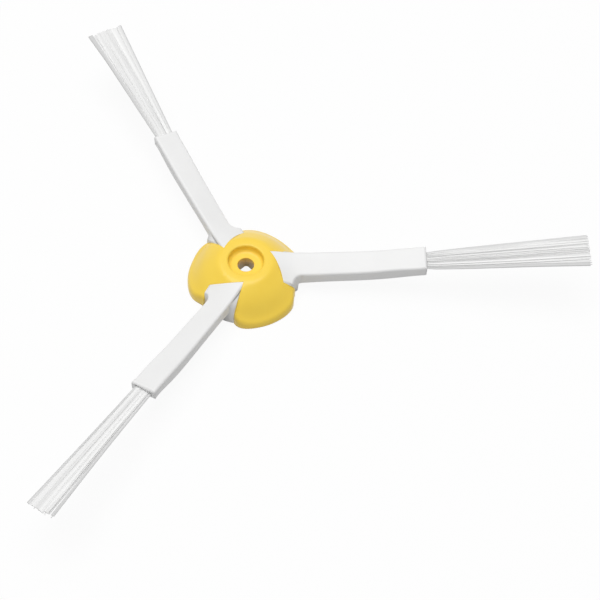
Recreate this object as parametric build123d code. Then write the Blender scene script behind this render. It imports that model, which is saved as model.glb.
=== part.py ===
from build123d import *
import math
import os

# A side brush of a robot vacuum cleaner, in millimetres. The origin is on the hub's axis in the plane of
# its underside, Z goes up to the side where the screw enters, and arm_1 points along X.

# Hub
HUB_RADIUS = 16.0
HUB_HEIGHT = 9.4
CROWN_RADIUS = 6.6
BEAK_DROP = 7.4
BEAK_POWER = 1.72
MIDDLE_DROP = 8.7
MIDDLE_POWER = 1.65
TAIL_DROP = 7.4
TAIL_POWER = 1.43
SHOULDER = 1.3
CORNER_SETBACK = 1.5
BEAK_ANGLE = 17.0
PETAL_END_ANGLE = 100.0

# Drive socket, screw hole and the recess for the screw's head
SOCKET_ACROSS_FLATS = 7.2
SOCKET_CORNER = 0.8
SOCKET_DEPTH = 4.7
SCREW_HOLE_RADIUS = 2.25
RECESS_RADIUS = 4.8
RECESS_DEPTH = 2.2
RECESS_LIP = 0.5
RECESS_FILLET = 1.1
BOSS_RADIUS = 6.6

# Cored underside
SKIRT_WALL = 1.8
NOTCH_WALL = 1.6
CORE_ROOF = 2.2

# Notch for an arm's root, in the arm's own directions: u outwards, v to its left
NOTCH_TIP_U = 6.4
NOTCH_TIP_V = 3.2
NOTCH_CORNER_U = 10.2
NOTCH_CORNER_V = -5.2
NOTCH_BACK_BULGE = 0.5
NOTCH_LEFT_SPREAD = 10.7

# Arm
ARM_COUNT = 3
ARM_END = 48.4
ARM_LEFT_ROOT = 3.7
ARM_LEFT_END = 2.9
ARM_RIGHT_ROOT = -3.0
ARM_RIGHT_END = -4.0
ARM_FLARE = 2.4
FLARE_START = 15.2
FOOT_RADIUS = 14.5
FOOT_BELOW_TOP = 1.2
FOOT_LEFT_STEP = 1.0
FOOT_LEFT_SLOPE = 65.0
FOOT_FALL = 0.18
ARM_TOP_EDGE = 0.7
ARM_UNDER_EDGE = 0.4
# Distance out, height of the top, bank in degrees, depth and crown at each section of an arm
ARM_SECTIONS = (
    (4.0, 8.8, 11.0, 3.3, 2.8),
    (9.5, 8.65, 12.0, 3.3, 2.6),
    (15.0, 8.0, 18.5, 3.4, 0.6),
    (20.0, 8.4, 17.0, 3.45, 0.2),
    (26.0, 9.1, 14.0, 3.5, 0.2),
    (33.0, 9.95, 10.3, 3.6, 0.2),
    (41.0, 11.45, 6.5, 3.7, 0.2),
    (49.0, 13.05, 3.2, 3.8, 0.2),
)

# Tuft
TIP_RADIUS = 90.0
TIP_RISE = 7.0
TIP_SIDEWAYS = -0.6
TUFT_WIDTH = 4.8
TUFT_DEPTH = 1.6
TUFT_SEAT = 6.0
TUFT_TIP_DEPTH = 2.2
# Width at the tips, extra length and lean to the left of each tuft
TUFT_TIPS = ((10.2, 1.0, -0.2), (10.6, -1.2, -0.6), (7.0, -0.2, 0.4))
FILAMENT = 0.32
FILAMENT_ROWS = 4
FILAMENTS_IN_ROW = 13

OVER = 2.0
HIGH = HUB_HEIGHT + 8.0


def around(solid, index):
    """The solid turned about the hub's axis to the arm with this index."""
    return Rot(0, 0, 360 / ARM_COUNT * index) * solid


def ease(share):
    """A share that leaves 0 and reaches 1 smoothly."""
    inside = min(1.0, max(0.0, share))
    return math.sin(inside * math.pi / 2) ** 2


def petal_radius(angle):
    """The hub's radius at this angle: the petals' corners are set back beside the arms."""
    beak = min(1.0, max(0.0, (BEAK_ANGLE + 14 - angle) / 14))
    tail = min(1.0, max(0.0, (angle - PETAL_END_ANGLE + 25) / 21))
    return HUB_RADIUS - CORNER_SETBACK * max(beak, tail) ** 2


def flank_height(radius, angle):
    """The height of the hub's top at this radius and angle: full at beak and tail, lean between."""
    out = max(0.0, (radius - CROWN_RADIUS) / (HUB_RADIUS - CROWN_RADIUS))
    beak = min(ease((angle - BEAK_ANGLE + 30) / 30), ease((BEAK_ANGLE + 24 - angle) / 24))
    tail = max(1 - ease((angle - BEAK_ANGLE + 30) / 30), ease((angle - PETAL_END_ANGLE + 55) / 45))
    drop = beak * BEAK_DROP * out**BEAK_POWER
    drop += tail * TAIL_DROP * out**TAIL_POWER
    drop += (1 - beak - tail) * MIDDLE_DROP * out**MIDDLE_POWER
    return HUB_HEIGHT - drop


def hub_section(angle):
    """A radial section of the hub at this angle, from inside the recess out to the skirt."""
    edge = petal_radius(angle)
    points = [(CROWN_RADIUS, HUB_HEIGHT)]
    inner_radii = [CROWN_RADIUS + share * (HUB_RADIUS - CROWN_RADIUS) for share in (0.22, 0.44, 0.64)]
    for radius in inner_radii + [edge - SHOULDER]:
        points.append((radius, flank_height(radius, angle)))
    points.append((edge, flank_height(edge, angle) - SHOULDER))
    inner = RECESS_RADIUS - OVER
    crown = Line((inner, HUB_HEIGHT), points[0])
    flank = Spline(*points, tangents=((1, 0), (0, -1)))
    skirt = Line(points[-1], (edge, -OVER))
    under = Line((edge, -OVER), (inner, -OVER))
    inside = Line((inner, -OVER), (inner, HUB_HEIGHT))
    plane = Plane((0, 0, 0), x_dir=(math.cos(math.radians(angle)), math.sin(math.radians(angle)), 0),
                  z_dir=(math.sin(math.radians(angle)), -math.cos(math.radians(angle)), 0))
    return plane * make_face(Curve() + [crown, flank, skirt, under, inside])


def notch_plan(grow):
    """The plan of a notch, with its walls moved out by grow, reaching past the end of the arm."""
    far = ARM_END + 4
    left = math.radians(NOTCH_LEFT_SPREAD)
    tip = Vector(NOTCH_TIP_U, NOTCH_TIP_V)
    corner = Vector(NOTCH_CORNER_U, NOTCH_CORNER_V)
    along = (corner - tip).normalized()
    middle = (tip + corner) / 2 + Vector(-along.Y, along.X) * NOTCH_BACK_BULGE
    left_far = tip + Vector(math.cos(left), math.sin(left)) * ((far - NOTCH_TIP_U) / math.cos(left))
    back = ThreePointArc(tip, middle, corner)
    right_wall = Line(corner, (far, NOTCH_CORNER_V))
    end = Line((far, NOTCH_CORNER_V), left_far)
    left_wall = Line(left_far, tip)
    plan = make_face(Curve() + [back, right_wall, end, left_wall])
    if grow:
        plan = offset(plan, grow, kind=Kind.INTERSECTION)
    return plan


def arm_plan(left_root):
    """The plan of an arm: nearly parallel sides, with a flare on the right where it enters the notch."""
    wide = 8.0
    inner = FLARE_START - ARM_FLARE
    corner = ARM_RIGHT_ROOT - ARM_FLARE
    bend = ARM_FLARE * math.sqrt(0.5)
    flare_top = (FLARE_START, ARM_RIGHT_ROOT)
    outline = Curve() + [
        Polyline((0, left_root), (ARM_END, ARM_LEFT_END), (ARM_END, ARM_RIGHT_END), flare_top),
        ThreePointArc(flare_top, (FLARE_START - bend, corner + bend), (inner, corner)),
        Polyline((inner, corner), (inner, -wide), (0, -wide), (0, left_root)),
    ]
    return make_face(outline)


def arm_slab():
    """A wide twisted slab with an arm's top and underside, crowned where it continues the hub."""
    half = 9.0
    sections = []
    for out, top, bank, depth, crown in ARM_SECTIONS:
        arc = ThreePointArc((half, -crown), (0, 0), (-half, -crown))
        rest = Polyline((-half, -crown), (-half, -crown - depth), (half, -crown - depth), (half, -crown))
        plane = Plane((out, 0, top), x_dir=(0, 1, 0), z_dir=(1, 0, 0))
        sections.append(plane * Rot(0, 0, bank) * make_face(Curve() + [arc, rest]))
    return loft(sections)


def tuft_middle():
    """The middle of an arm's end, where the tuft comes out."""
    before = ARM_SECTIONS[-2]
    after = ARM_SECTIONS[-1]
    share = (ARM_END - before[0]) / (after[0] - before[0])
    height = before[1] + (after[1] - before[1]) * share
    return Vector(ARM_END, (ARM_LEFT_END + ARM_RIGHT_END) / 2, height - after[3] / 2)


def make_hub():
    """The yellow hub with its notches, recess, screw hole, drive socket and cored underside."""
    start = PETAL_END_ANGLE - 360 / ARM_COUNT
    angles = [start + share * (BEAK_ANGLE - start) for share in (0, 0.2, 0.4, 0.6, 0.8)]
    shares = (0, 0.05, 0.11, 0.18, 0.28, 0.42, 0.58, 0.73, 0.84, 0.95, 1)
    angles += [BEAK_ANGLE + share * (PETAL_END_ANGLE - BEAK_ANGLE) for share in shares]
    petal = loft([hub_section(angle) for angle in angles])
    skin = petal.faces().filter_by(GeomType.BSPLINE)
    ring = Solid(Shell([around(face, index) for index in range(ARM_COUNT) for face in skin]))
    floor = HUB_HEIGHT - RECESS_DEPTH
    body = Pos(0, 0, floor / 2 - OVER) * Cylinder(BOSS_RADIUS, floor + 2 * OVER) + ring
    body = split(body, bisect_by=Plane.XY, keep=Keep.TOP)

    # Room for the screw's head, with a rounded lip, and the hole for the screw below it
    lip = RECESS_RADIUS + RECESS_LIP
    bend = RECESS_LIP * (1 - math.sqrt(0.5))
    curl = RECESS_FILLET * (1 - math.sqrt(0.5))
    foot = RECESS_RADIUS - RECESS_FILLET
    wall_low = (RECESS_RADIUS, floor + RECESS_FILLET)
    wall_high = (RECESS_RADIUS, HUB_HEIGHT - RECESS_LIP)
    recess = Curve() + [
        Polyline((0, HUB_HEIGHT + OVER), (0, floor), (foot, floor)),
        ThreePointArc((foot, floor), (RECESS_RADIUS - curl, floor + curl), wall_low),
        Line(wall_low, wall_high),
        ThreePointArc(wall_high, (RECESS_RADIUS + bend, HUB_HEIGHT - bend), (lip, HUB_HEIGHT)),
        Polyline((lip, HUB_HEIGHT), (lip, HUB_HEIGHT + OVER), (0, HUB_HEIGHT + OVER)),
    ]
    body = body - revolve(Plane.XZ * make_face(recess), Axis.Z)
    body = body - Cylinder(SCREW_HOLE_RADIUS, HIGH * 2)

    # The square socket has a corner in line with arm_1
    socket = Rot(0, 0, 45) * RectangleRounded(SOCKET_ACROSS_FLATS, SOCKET_ACROSS_FLATS, SOCKET_CORNER)
    body = body - extrude(socket, SOCKET_DEPTH)

    # Hollows under the petals, between the boss, the skirt and the walls of the notches
    skirt = HUB_RADIUS - SKIRT_WALL
    middle = (BOSS_RADIUS + skirt) / 2
    lean = BEAK_ANGLE + 30
    radii = (BOSS_RADIUS + 1, middle, skirt)
    roof = [(radius, flank_height(radius, lean) - CORE_ROOF) for radius in radii]
    hollow = Polyline((BOSS_RADIUS, -OVER), (BOSS_RADIUS, roof[0][1]), *roof, (skirt, -OVER), close=True)
    hollows = revolve(Plane.XZ * make_face(hollow), Axis.Z)
    walls = extrude(notch_plan(NOTCH_WALL), HIGH, both=True)
    notch = extrude(notch_plan(0), HIGH, both=True)
    for index in range(ARM_COUNT):
        hollows = hollows - around(walls, index)
    body = body - hollows
    for index in range(ARM_COUNT):
        body = body - around(notch, index)
    return body


def make_arm():
    """The arm along X: a twisted bar, the foot that fills its notch and the seat of its tuft."""
    notch = extrude(notch_plan(0), HIGH * 2)
    bar = arm_slab() & extrude(arm_plan(ARM_LEFT_ROOT), HIGH * 2)
    for side, radius in ((0, ARM_UNDER_EDGE), (-1, ARM_TOP_EDGE)):
        wide_faces = bar.faces().filter_by(GeomType.BSPLINE).sort_by(SortBy.AREA)[-2:]
        face = wide_faces.sort_by(Axis.Z)[side]
        outer_edges = [edge for edge in face.edges() if edge.center().X > FLARE_START - ARM_FLARE]
        bar = fillet(outer_edges, radius)
    bar = bar & notch
    out, top, bank, depth, crown = ARM_SECTIONS[2]
    lean = math.radians(bank)
    slope = math.radians(FOOT_LEFT_SLOPE)
    below_top = Plane((out, 0, top - FOOT_BELOW_TOP), z_dir=(0, -math.sin(lean), math.cos(lean)))
    left_top = top - FOOT_BELOW_TOP + ARM_LEFT_ROOT * math.tan(lean)
    left_slope = Plane((FOOT_RADIUS, ARM_LEFT_ROOT, left_top - FOOT_LEFT_STEP),
                       z_dir=(FOOT_FALL, math.sin(slope), math.cos(slope)))
    foot = Pos(0, 0, HIGH / 2) * Cylinder(FOOT_RADIUS, HIGH) & notch
    foot = foot & extrude(arm_plan(ARM_END), HIGH * 2)
    foot = split(foot, bisect_by=below_top, keep=Keep.BOTTOM)
    foot = split(foot, bisect_by=left_slope, keep=Keep.BOTTOM)
    return bar + foot - tuft_seat(OVER)


def tuft_plane():
    """The plane across a tuft where it leaves the arm, looking outwards along the tuft."""
    along = Vector(TIP_RADIUS - ARM_END, TIP_SIDEWAYS, TIP_RISE)
    return Plane(tuft_middle(), x_dir=(0, 1, 0), z_dir=along)


def tuft_seat(past):
    """The block of joined filament ends in the arm's seat, going past its mouth by this much."""
    block = Pos(0, 0, (past - TUFT_SEAT) / 2) * Box(TUFT_WIDTH, TUFT_DEPTH, TUFT_SEAT + past)
    return tuft_plane() * block


def make_tuft(tip_width, longer, lean):
    """The tuft along X: rows of straight filaments that fan out from the block in the arm."""
    length = math.hypot(TIP_RADIUS - ARM_END, TIP_RISE) + longer
    column_pitch = (TUFT_WIDTH - 1.5 * FILAMENT) / (FILAMENTS_IN_ROW - 0.5)
    row_pitch = (TUFT_DEPTH - 1.5 * FILAMENT) / (FILAMENT_ROWS - 1)
    filaments = []
    for row in range(FILAMENT_ROWS):
        for column in range(FILAMENTS_IN_ROW):
            across = (column - FILAMENTS_IN_ROW / 2 + 0.25 + 0.5 * (row % 2)) * column_pitch
            up = (row - (FILAMENT_ROWS - 1) / 2) * row_pitch
            start = Vector(across, up, -0.2 - FILAMENT)
            cut = 0.18 * ((3 * row + 5 * column) % 7)
            wide = across * tip_width / TUFT_WIDTH + lean
            high = up * TUFT_TIP_DEPTH / TUFT_DEPTH
            away = Vector(wide, high, length - cut) - start
            hexagon = Plane(start, z_dir=away) * RegularPolygon(FILAMENT / 2, 6, major_radius=False)
            filaments.append(extrude(hexagon, away.length))
    return tuft_seat(-0.2) + [tuft_plane() * filament for filament in filaments]


hub = make_hub()
arm = make_arm()
os.makedirs("parts", exist_ok=True)
export_step(hub, "parts/hub.step")
for index in range(ARM_COUNT):
    export_step(around(arm, index), f"parts/arm_{index + 1}.step")
    tuft = make_tuft(*TUFT_TIPS[index % len(TUFT_TIPS)])
    export_step(around(tuft, index), f"parts/tuft_{index + 1}.step")
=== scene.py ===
import math

import bmesh
import bpy
from mathutils import Matrix, Vector


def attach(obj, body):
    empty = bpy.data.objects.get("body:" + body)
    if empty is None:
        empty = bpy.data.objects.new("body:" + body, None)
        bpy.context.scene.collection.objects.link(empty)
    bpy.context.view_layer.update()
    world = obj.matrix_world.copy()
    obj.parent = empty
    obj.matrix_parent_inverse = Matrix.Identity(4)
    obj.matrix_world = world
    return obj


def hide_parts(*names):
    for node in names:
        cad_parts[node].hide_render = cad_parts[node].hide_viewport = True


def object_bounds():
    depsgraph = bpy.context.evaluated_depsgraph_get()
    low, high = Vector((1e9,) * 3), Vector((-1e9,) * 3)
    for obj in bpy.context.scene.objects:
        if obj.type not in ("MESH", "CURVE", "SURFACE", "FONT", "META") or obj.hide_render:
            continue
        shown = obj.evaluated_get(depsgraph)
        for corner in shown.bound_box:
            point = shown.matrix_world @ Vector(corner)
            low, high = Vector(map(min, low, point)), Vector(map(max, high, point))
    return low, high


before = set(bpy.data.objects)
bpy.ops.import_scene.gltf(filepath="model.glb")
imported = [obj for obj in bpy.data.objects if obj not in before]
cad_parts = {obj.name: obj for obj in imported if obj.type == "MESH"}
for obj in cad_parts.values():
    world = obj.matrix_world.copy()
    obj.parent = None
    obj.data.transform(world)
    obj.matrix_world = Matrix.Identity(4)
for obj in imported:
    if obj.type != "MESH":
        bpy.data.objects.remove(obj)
cad_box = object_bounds()


# Hub
# One glossy yellow injection moulding: a dome of three petals round a recess for the fixing screw.
# Polished steel moulds leave it shiny, with a faint unevenness where the plastic shrank as it cooled.

MM = 0.001
WELD_DISTANCE = 0.001 * MM
SHARP_ANGLE = math.radians(35)

DEEP_YELLOW = (0.96, 0.66, 0.07)
BRIGHT_YELLOW = (0.99, 0.71, 0.09)
HUB_ROUGHNESS = 0.25
HUB_ROUGHNESS_CHANGE = 0.08
HUB_SHINE = 0.35
HUB_LUMP = 6 * MM
HUB_GRAIN = 0.35 * MM
HUB_GRAIN_SHARE = 0.06
HUB_RELIEF = 0.05 * MM
HUB_EDGE_RADIUS = 0.25 * MM


class Level:
    """One output socket of a node tree. Sums on it add Math nodes to that tree."""

    def __init__(self, socket):
        self.socket = socket
        self.tree = socket.id_data

    @classmethod
    def make(cls, tree, kind, settings, sockets, output=0):
        """Adds a node of this kind, sets it, then its sockets, and gives one of its outputs."""
        node = tree.nodes.new(kind)
        for name, value in settings.items():
            setattr(node, name, value)
        for name, value in sockets.items():
            if isinstance(value, Level):
                tree.links.new(value.socket, node.inputs[name])
            else:
                node.inputs[name].default_value = value
        return cls(node.outputs[output])

    @classmethod
    def maths(cls, tree, operation, *values):
        """Adds a Math node on one value or two."""
        return cls.make(tree, "ShaderNodeMath", {"operation": operation}, dict(enumerate(values)))

    def __add__(self, other):
        return Level.maths(self.tree, "ADD", self, other)

    def __radd__(self, other):
        return Level.maths(self.tree, "ADD", other, self)

    def __sub__(self, other):
        return Level.maths(self.tree, "SUBTRACT", self, other)

    def __rsub__(self, other):
        return Level.maths(self.tree, "SUBTRACT", other, self)

    def __mul__(self, other):
        return Level.maths(self.tree, "MULTIPLY", self, other)

    def __rmul__(self, other):
        return Level.maths(self.tree, "MULTIPLY", other, self)

    def __truediv__(self, other):
        return Level.maths(self.tree, "DIVIDE", self, other)

    def __pow__(self, other):
        return Level.maths(self.tree, "POWER", self, other)

    def __gt__(self, other):
        return Level.maths(self.tree, "GREATER_THAN", self, other)


def noise(tree, feature, detail):
    """Soft random levels from 0 to 1 whose lumps are about this wide, in metres."""
    place = Level.make(tree, "ShaderNodeTexCoord", {}, {}, "Object")
    sockets = {"Vector": place, "Scale": 1 / feature, "Detail": detail}
    return Level.make(tree, "ShaderNodeTexNoise", {}, sockets)


def blend(tree, share, first, second):
    """A colour that goes from the first to the second with this share."""
    sockets = {0: share, 6: (*first, 1), 7: (*second, 1)}
    return Level.make(tree, "ShaderNodeMix", {"data_type": "RGBA"}, sockets, 2)


def finish(material, colour, roughness, normal):
    """Joins a varying colour, roughness and normal to a material's shader."""
    shader = material.node_tree.nodes["Principled BSDF"]
    for name, level in (("Base Color", colour), ("Roughness", roughness), ("Normal", normal)):
        material.node_tree.links.new(level.socket, shader.inputs[name])
    return shader


def moulding(node, material):
    """The CAD node's own shape as one joined mesh of this material, smooth but for its sharp edges."""
    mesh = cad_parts[node].data.copy()
    joined = bmesh.new()
    joined.from_mesh(mesh)
    bmesh.ops.remove_doubles(joined, verts=joined.verts, dist=WELD_DISTANCE)
    joined.to_mesh(mesh)
    joined.free()
    mesh.shade_smooth()
    mesh.set_sharp_from_angle(angle=SHARP_ANGLE)
    mesh.materials.clear()
    mesh.materials.append(material)
    piece = bpy.data.objects.new(node + "_moulding", mesh)
    bpy.context.scene.collection.objects.link(piece)
    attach(piece, "root")
    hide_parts(node)
    return piece


yellow = bpy.data.materials.new("glossy_yellow_plastic")
yellow.use_nodes = True
tree = yellow.node_tree
cloud = noise(tree, HUB_LUMP, 2)
grain = noise(tree, HUB_GRAIN, 1)
edges = Level.make(tree, "ShaderNodeBevel", {"samples": 4}, {"Radius": HUB_EDGE_RADIUS})
height = cloud + HUB_GRAIN_SHARE * grain
bump = Level.make(tree, "ShaderNodeBump", {},
                  {"Strength": 0.25, "Distance": HUB_RELIEF, "Height": height, "Normal": edges})
colour = blend(tree, cloud, DEEP_YELLOW, BRIGHT_YELLOW)
shader = finish(yellow, colour, HUB_ROUGHNESS + HUB_ROUGHNESS_CHANGE * cloud, bump)
shader.inputs["Specular IOR Level"].default_value = HUB_SHINE

hub = moulding("hub", yellow)


# Arms
# Three soft white elastomer bars, moulded into the hub's notches so that the two plastics lock.
# The finish is satin, from a lightly etched mould.

DULL_WHITE = (0.83, 0.83, 0.83)
BRIGHT_WHITE = (0.88, 0.88, 0.875)
ARM_ROUGHNESS = 0.42
ARM_ROUGHNESS_CHANGE = 0.1
ARM_LUMP = 9 * MM
ARM_GRAIN = 0.3 * MM
ARM_GRAIN_SHARE = 0.25
ARM_RELIEF = 0.03 * MM

white = bpy.data.materials.new("soft_white_elastomer")
white.use_nodes = True
tree = white.node_tree
cloud = noise(tree, ARM_LUMP, 2)
grain = noise(tree, ARM_GRAIN, 2)
height = cloud + ARM_GRAIN_SHARE * grain
bump = Level.make(tree, "ShaderNodeBump", {},
                  {"Strength": 0.3, "Distance": ARM_RELIEF, "Height": height})
colour = blend(tree, cloud, DULL_WHITE, BRIGHT_WHITE)
finish(white, colour, ARM_ROUGHNESS + ARM_ROUGHNESS_CHANGE * grain, bump)

for number in (1, 2, 3):
    arm = moulding(f"arm_{number}", white)


# Tufts
# Flat bundles of fine clear nylon filaments, moulded into the ends of the arms and cut to length.
# They fan out towards the tips, and here and there a few filaments have parted from the rest.
# Light scatters between so many strands that a bundle looks white, so its material is opaque.

# The middle of the first arm's mouth, and the middle of its tuft's usual tip
ROOT = Vector((48.4, -0.55, 11.03)) * MM
TIP = Vector((90.0, -1.15, 18.03)) * MM

DULL_NYLON = (0.52, 0.52, 0.52)
BRIGHT_NYLON = (0.99, 0.99, 0.985)
NYLON_IOR = 1.53
NYLON_ROUGHNESS = 0.5
NYLON_ROUGHNESS_CHANGE = 0.2
STREAK_WIDTH = 1.0 * MM
STREAK_LENGTH = 20 * MM
STREAK_RELIEF = 0.06 * MM

# Brightness that all strands have, and what a strand's own shade and its streaks add
LEAST_TINT = 0.4
SHADE_TINT = 0.3
STREAK_TINT = 0.3

# Painted shade along the tuft's two edges: how sharply it sets in, and how far it darkens the strands
RIM_STEEPNESS = 6
RIM_PAINTED_SHADE = 0.65

# How far a clump strays from its even place, how broad it is and how much that changes from clump to
# clump, as shares of its even room, and how far it lies above or below, as a share of the tuft's depth
CLUMP_STRAY = 0.5
CLUMP_BREADTH = 0.8
CLUMP_BREADTH_CHANGE = 0.6
CLUMP_LIFT = 0.06
CLUMP_SIDES = 10
FILAMENT_BREADTH_CHANGE = 0.5
FILAMENT_FLATNESS = 0.7
FILAMENT_SIDES = 5
GAP_CURVE = 1.5
PLUG_SINK = 0.2 * MM
ROUNDING_ROOM = 0.001
ARM_TURN = math.radians(120)

nylon = bpy.data.materials.new("translucent_nylon")
nylon.use_nodes = True
tree = nylon.node_tree
shade = Level.make(tree, "ShaderNodeAttribute", {"attribute_name": "shade"}, {}, "Fac")
lengthwise = Level.make(tree, "ShaderNodeAttribute", {"attribute_name": "lengthwise"}, {}, "Vector")
edge = Level.make(tree, "ShaderNodeAttribute", {"attribute_name": "edge"}, {}, "Fac")
# Painted shade: the strands' colour darkens towards the tuft's two edges, where the bundle turns away from
# the light
painted_rim_shade = Level.maths(tree, "MINIMUM", edge ** RIM_STEEPNESS, 1.0)
streak = Level.make(tree, "ShaderNodeTexNoise", {}, {"Vector": lengthwise, "Scale": 1.0, "Detail": 0.0})
bump = Level.make(tree, "ShaderNodeBump", {},
                  {"Strength": 0.35, "Distance": STREAK_RELIEF, "Height": streak})
tint = (LEAST_TINT + SHADE_TINT * shade + STREAK_TINT * streak) * (1 - RIM_PAINTED_SHADE * painted_rim_shade)
colour = blend(tree, tint, DULL_NYLON, BRIGHT_NYLON)
shader = finish(nylon, colour, NYLON_ROUGHNESS + NYLON_ROUGHNESS_CHANGE * streak, bump)
shader.inputs["IOR"].default_value = NYLON_IOR


def tuft_inputs(tree):
    """Gives the tree a named input for each size of a tuft, and returns their levels by name."""
    for name in ("Clumps", "Filaments", "Steps", "Seed"):
        tree.interface.new_socket(name, in_out="INPUT", socket_type="NodeSocketInt")
    for name in ("Length", "Lean", "Filament breadth", "Clump overlap", "Clump flatness", "Loose depth",
                 "Root width", "Root depth", "Tip width", "Tip depth", "Seat", "Wander", "Uneven cut",
                 "Fan", "Gap place", "Gap width", "Gap start"):
        tree.interface.new_socket(name, in_out="INPUT", socket_type="NodeSocketFloat")
    tree.interface.new_socket("Material", in_out="INPUT", socket_type="NodeSocketMaterial")
    entry = tree.nodes.new("NodeGroupInput")
    return {socket.name: Level(socket) for socket in entry.outputs if socket.name}


def tuft_width(size, along):
    """The width of a tuft at this share of its length."""
    opened = along ** size["Fan"]
    return size["Root width"] * (1 - opened) + size["Tip width"] * opened


def with_marks(tree, size, strands):
    """Stores on the strands where their streaks run and how near each point is to the tuft's edges."""
    place = Level.make(tree, "GeometryNodeInputPosition", {}, {})
    streaks = (1 / STREAK_WIDTH, 1 / STREAK_LENGTH, 1 / STREAK_WIDTH)
    stretched = Level.make(tree, "ShaderNodeVectorMath", {"operation": "MULTIPLY"}, {0: place, 1: streaks})
    sideways = Level.make(tree, "ShaderNodeSeparateXYZ", {}, {"Vector": place}, "X")
    onwards = Level.make(tree, "ShaderNodeSeparateXYZ", {}, {"Vector": place}, "Y") / size["Length"]
    onwards = Level.maths(tree, "MAXIMUM", onwards, 0.0)
    nearness = 2 * (sideways - size["Lean"] * onwards) / tuft_width(size, onwards)
    marked = Level.make(tree, "GeometryNodeStoreNamedAttribute",
                        {"data_type": "FLOAT_VECTOR", "domain": "POINT"},
                        {"Geometry": strands, "Name": "lengthwise", "Value": stretched})
    return Level.make(tree, "GeometryNodeStoreNamedAttribute",
                      {"data_type": "FLOAT", "domain": "POINT"},
                      {"Geometry": marked, "Name": "edge", "Value": nearness})


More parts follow.
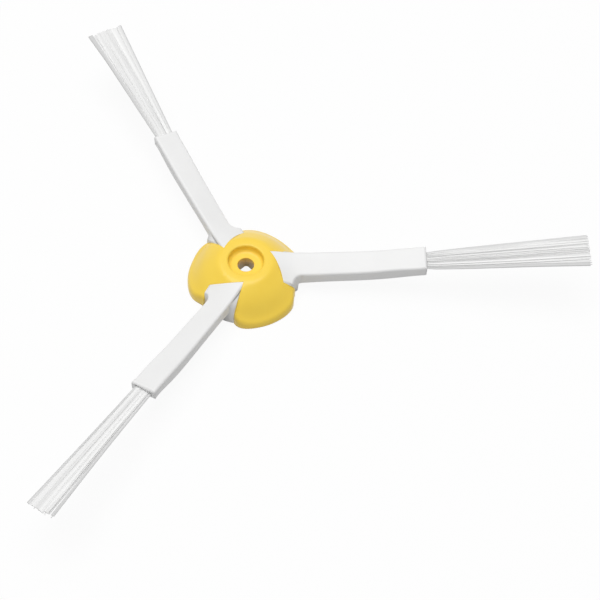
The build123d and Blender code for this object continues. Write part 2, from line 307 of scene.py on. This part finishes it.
def tuft_nodes():
    """The Geometry Nodes tree of a tuft: its strands run along Y and fan out in X, with Z above them."""
    tree = bpy.data.node_groups.new("tuft_of_filaments", "GeometryNodeTree")
    tree.interface.new_socket("Geometry", in_out="OUTPUT", socket_type="NodeSocketGeometry")
    size = tuft_inputs(tree)

    def add(kind, settings, sockets, output=0):
        return Level.make(tree, kind, settings, sockets, output)

    index = add("GeometryNodeInputIndex", {}, {})
    along = add("GeometryNodeSplineParameter", {}, {}, "Factor")
    strand = Level.maths(tree, "FLOOR", index / size["Steps"] + ROUNDING_ROOM)
    bow = Level.maths(tree, "SINE", along * math.pi)
    late = Level.maths(tree, "MAXIMUM", (along - size["Gap start"]) / (1 - size["Gap start"]), 0.0)
    outside = Level.maths(tree, "ABSOLUTE", size["Gap place"])
    side = Level.maths(tree, "SIGN", size["Gap place"])
    width = tuft_width(size, along)
    depth = size["Root depth"] * (1 - along) + size["Tip depth"] * along

    def chance(offset):
        """A random level from -0.5 to 0.5 that is the same all along a strand."""
        sockets = {2: -0.5, 3: 0.5, "ID": strand, "Seed": size["Seed"] + offset}
        return add("FunctionNodeRandomValue", {"data_type": "FLOAT"}, sockets, 1)

    def strands(count, across, up, breadth, sides, flatness, offset):
        """Closed strands at these shares of the tuft's width and depth, with a bend and a length each."""
        line = add("GeometryNodeCurvePrimitiveLine", {}, {"End": (0, 1, 0)})
        line = add("GeometryNodeResampleCurve", {}, {"Curve": line, "Count": size["Steps"]})
        points = add("GeometryNodePoints", {}, {"Count": count})
        lines = add("GeometryNodeInstanceOnPoints", {}, {"Points": points, "Instance": line})
        lines = add("GeometryNodeRealizeInstances", {}, {"Geometry": lines})
        parted = across * side > outside
        x = across * width + size["Lean"] * along + bow * size["Wander"] * chance(offset)
        x = x + parted * side * size["Gap width"] * late ** GAP_CURVE
        z = up * depth + bow * size["Wander"] * chance(offset + 1)
        reach = size["Length"] - size["Uneven cut"] * (chance(offset + 2) + 0.5) ** 2
        y = along * (reach + size["Seat"]) - size["Seat"]
        place = add("ShaderNodeCombineXYZ", {}, {"X": x, "Y": y, "Z": z})
        lines = add("GeometryNodeSetPosition", {}, {"Geometry": lines, "Position": place})
        lines = add("GeometryNodeSetCurveNormal", {"mode": "Z_UP"}, {"Curve": lines})
        lines = add("GeometryNodeStoreNamedAttribute", {"data_type": "FLOAT", "domain": "POINT"},
                    {"Geometry": lines, "Name": "shade", "Value": chance(offset + 3) + 0.5})
        ring = add("GeometryNodeCurvePrimitiveCircle", {}, {"Resolution": sides, "Radius": 1.0})
        flat = add("ShaderNodeCombineXYZ", {}, {"X": 1.0, "Y": flatness, "Z": 1.0})
        ring = add("GeometryNodeTransform", {}, {"Geometry": ring, "Scale": flat})
        return add("GeometryNodeCurveToMesh", {},
                   {"Curve": lines, "Profile Curve": ring, "Scale": 0.5 * breadth, "Fill Caps": True})

    # Clumps, in which the filaments cling together, lie side by side
    even = (strand + 0.5) / size["Clumps"] - 0.5 + CLUMP_STRAY * chance(1) / size["Clumps"]
    share = CLUMP_BREADTH + CLUMP_BREADTH_CHANGE * chance(2)
    breadth = size["Clump overlap"] * share * width / size["Clumps"]
    lift = CLUMP_LIFT * chance(3)
    clumps = strands(size["Clumps"], even, lift, breadth, CLUMP_SIDES, size["Clump flatness"], offset=10)
    clumps = add("GeometryNodeSetShadeSmooth", {}, {"Geometry": clumps})

    # Loose filaments lie over and under them, within an oval section
    anywhere = chance(4)
    full = (1 - 4 * anywhere * anywhere) ** 0.5
    breadth = size["Filament breadth"] * (1 + FILAMENT_BREADTH_CHANGE * chance(5))
    lift = size["Loose depth"] * full * chance(6)
    loose = strands(size["Filaments"], anywhere, lift, breadth, FILAMENT_SIDES, FILAMENT_FLATNESS, offset=20)

    # The filaments' ends are melted together into a plug inside the arm
    plug_size = add("ShaderNodeCombineXYZ", {},
                    {"X": size["Root width"], "Y": size["Seat"], "Z": size["Root depth"]})
    plug = add("GeometryNodeMeshCube", {}, {"Size": plug_size})
    inwards = add("ShaderNodeCombineXYZ", {}, {"Y": -PLUG_SINK - 0.5 * size["Seat"]})
    plug = add("GeometryNodeTransform", {}, {"Geometry": plug, "Translation": inwards})

    join = tree.nodes.new("GeometryNodeJoinGeometry")
    for piece in (plug, clumps, loose):
        tree.links.new(piece.socket, join.inputs[0])
    whole = with_marks(tree, size, Level(join.outputs[0]))
    whole = add("GeometryNodeRealizeInstances", {}, {"Geometry": whole})
    whole = add("GeometryNodeSetMaterial", {}, {"Geometry": whole, "Material": size["Material"]})
    leave = tree.nodes.new("NodeGroupOutput")
    tree.links.new(whole.socket, leave.inputs[0])
    return tree


tufts = tuft_nodes()
shared = {
    "Steps": 9, "Filament breadth": 0.2 * MM, "Clump overlap": 2.4,
    "Root width": 4.3 * MM, "Root depth": 1.3 * MM, "Tip depth": 1.7 * MM,
    "Seat": 3 * MM, "Wander": 0.25 * MM, "Uneven cut": 0.8 * MM, "Material": nylon,
}
usual = (TIP - ROOT).length
single = {
    1: {"Clumps": 18, "Filaments": 50, "Clump flatness": 0.45, "Loose depth": 1.0, "Seed": 13,
        "Length": usual + 0.95 * MM, "Lean": 0.2 * MM, "Tip width": 9.2 * MM, "Fan": 0.55,
        "Gap place": 0.44, "Gap width": 0.4 * MM, "Gap start": 0.6},
    2: {"Clumps": 15, "Filaments": 26, "Clump flatness": 0.36, "Loose depth": 0.6, "Seed": 23,
        "Length": usual - 1.25 * MM, "Lean": 0.6 * MM, "Tip width": 9.6 * MM, "Fan": 1.0,
        "Gap place": -0.42, "Gap width": 0.5 * MM, "Gap start": 0.7},
    3: {"Clumps": 12, "Filaments": 12, "Clump flatness": 0.24, "Loose depth": 0.5, "Seed": 41,
        "Length": usual - 0.4 * MM, "Lean": -0.4 * MM, "Tip width": 6.4 * MM, "Fan": 1.0,
        "Gap place": -0.46, "Gap width": 0.4 * MM, "Gap start": 0.45},
}
out = (TIP - ROOT).normalized()
right = out.cross(Vector((0, 0, 1))).normalized()
above = right.cross(out)
seat = Matrix((right, out, above)).transposed().to_4x4()
seat.translation = ROOT

for number in (1, 2, 3):
    maker = bpy.data.objects.new("tuft_maker", bpy.data.meshes.new("tuft_maker"))
    bpy.context.scene.collection.objects.link(maker)
    modifier = maker.modifiers.new("filaments", "NODES")
    modifier.node_group = tufts
    values = shared | single[number]
    for socket in tufts.interface.items_tree:
        if socket.in_out == "INPUT":
            modifier[socket.identifier] = values[socket.name]
    made = maker.evaluated_get(bpy.context.evaluated_depsgraph_get())
    mesh = bpy.data.meshes.new_from_object(made)
    bpy.data.objects.remove(maker)
    mesh.transform(Matrix.Rotation(ARM_TURN * (number - 1), 4, "Z") @ seat)
    tuft = bpy.data.objects.new(f"tuft_{number}_filaments", mesh)
    bpy.context.scene.collection.objects.link(tuft)
    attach(tuft, "root")
    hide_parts(f"tuft_{number}")


# Studio
# A plain white table under one wide soft box, in a room whose pale walls give some light from all round.
# The camera looks down on the brush as in the photograph.

TABLE_HALF_WIDTH = 3.0
TABLE_GAP = 0.02 * MM

# The table looks paler to the camera than the grey that lights the brush from below
TABLE_SEEN_GREY = (0.9, 0.9, 0.9, 1)
TABLE_LIGHTING_GREY = (0.65, 0.65, 0.65, 1)
TABLE_GLOW = 0.92
PURE_WHITE = (1, 1, 1, 1)
ROOM_LIGHT = 0.35
SOFT_BOX_PLACE = Vector((-0.1, 0.08, 1.1))
SOFT_BOX_WIDTH = 0.9
SOFT_BOX_WATTS = 9.4
CAMERA_PLACE = Vector((3.711, -193.441, 272.879)) * MM
CAMERA_TURN = (34.4255, -1.995, -0.492)

bpy.context.scene.view_settings.view_transform = "Standard"


def seen_white(tree):
    """1 where the camera sees a thing, straight or mirrored, and 0 where the thing only gives light."""
    straight = Level.make(tree, "ShaderNodeLightPath", {}, {}, "Is Camera Ray")
    mirrored = Level.make(tree, "ShaderNodeLightPath", {}, {}, "Is Glossy Ray")
    return Level.maths(tree, "MAXIMUM", straight, mirrored)


table = bpy.data.materials.new("white_table")
table.use_nodes = True
tree = table.node_tree
tree.nodes.remove(tree.nodes["Principled BSDF"])
seen = seen_white(tree)
dim = Level.make(tree, "ShaderNodeBsdfDiffuse", {}, {"Color": TABLE_LIGHTING_GREY})
pale = Level.make(tree, "ShaderNodeBsdfDiffuse", {}, {"Color": TABLE_SEEN_GREY})
paper = Level.make(tree, "ShaderNodeMixShader", {}, {0: seen, 1: dim, 2: pale})
glow = Level.make(tree, "ShaderNodeEmission", {}, {"Color": PURE_WHITE, "Strength": 1.0})
mixed = Level.make(tree, "ShaderNodeMixShader", {}, {0: TABLE_GLOW * seen, 1: paper, 2: glow})
tree.links.new(mixed.socket, tree.nodes["Material Output"].inputs["Surface"])

corners = [(TABLE_HALF_WIDTH * x, TABLE_HALF_WIDTH * y, 0) for x, y in ((-1, -1), (1, -1), (1, 1), (-1, 1))]
floor_mesh = bpy.data.meshes.new("table_top")
floor_mesh.from_pydata(corners, [], [(0, 1, 2, 3)])
floor_mesh.materials.append(table)
floor = bpy.data.objects.new("table_top", floor_mesh)
floor.location.z = cad_box[0].z - TABLE_GAP
bpy.context.scene.collection.objects.link(floor)

world = bpy.data.worlds.new("white_room")
world.use_nodes = True
tree = world.node_tree
strength = ROOM_LIGHT + (1 - ROOM_LIGHT) * seen_white(tree)
tree.links.new(strength.socket, tree.nodes["Background"].inputs["Strength"])
tree.nodes["Background"].inputs["Color"].default_value = PURE_WHITE
bpy.context.scene.world = world

lamp = bpy.data.lights.new("overhead_soft_box", "AREA")
lamp.size = SOFT_BOX_WIDTH
lamp.energy = SOFT_BOX_WATTS
soft_box = bpy.data.objects.new("overhead_soft_box", lamp)
soft_box.location = SOFT_BOX_PLACE
soft_box.rotation_euler = (-SOFT_BOX_PLACE).to_track_quat("-Z", "Y").to_euler()
bpy.context.scene.collection.objects.link(soft_box)

camera = bpy.data.cameras.new("camera")
camera.lens = 72.925
camera.sensor_width = 36.0
camera.clip_start = 0.01
eye = bpy.data.objects.new("camera", camera)
eye.location = CAMERA_PLACE
eye.rotation_euler = [math.radians(turn) for turn in CAMERA_TURN]
bpy.context.scene.collection.objects.link(eye)
bpy.context.scene.camera = eye
